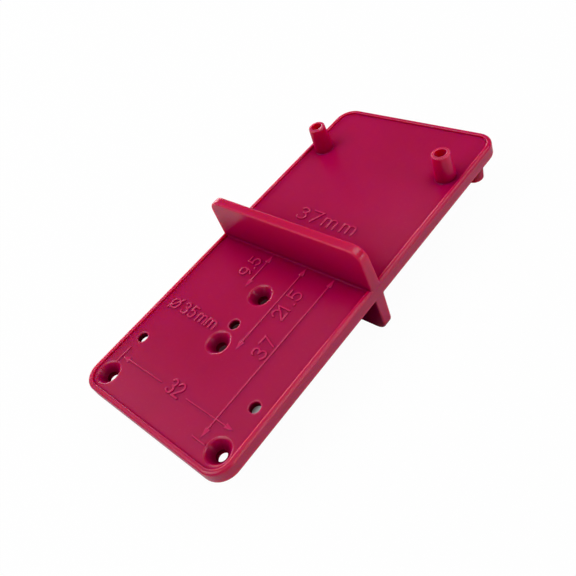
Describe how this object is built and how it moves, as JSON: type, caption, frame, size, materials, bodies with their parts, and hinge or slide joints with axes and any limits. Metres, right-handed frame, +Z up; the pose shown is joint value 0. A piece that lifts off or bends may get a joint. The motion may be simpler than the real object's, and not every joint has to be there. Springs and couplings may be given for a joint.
{
  "type": "hinge drilling jig",
  "caption": "Moulded plastic jig for marking cabinet hinge holes: a rimmed plate crossed by a two-sided fence, with countersunk guide holes on one wing and hollow locating pegs on the other.",
  "frame": {"origin": "under the middle of the jig, level with the lower edge of the fence that it stands on", "axes": "+Y from the hole wing to the peg wing, +X along the fence, +Z up through the rimmed face"},
  "size_m": [0.04, 0.0854, 0.021],
  "materials": {
    "red_plastic": "satin moulded plastic, deep crimson"
  },
  "bodies": {
    "root": {"drilling_jig": "red_plastic"}
  },
  "joints": []
}
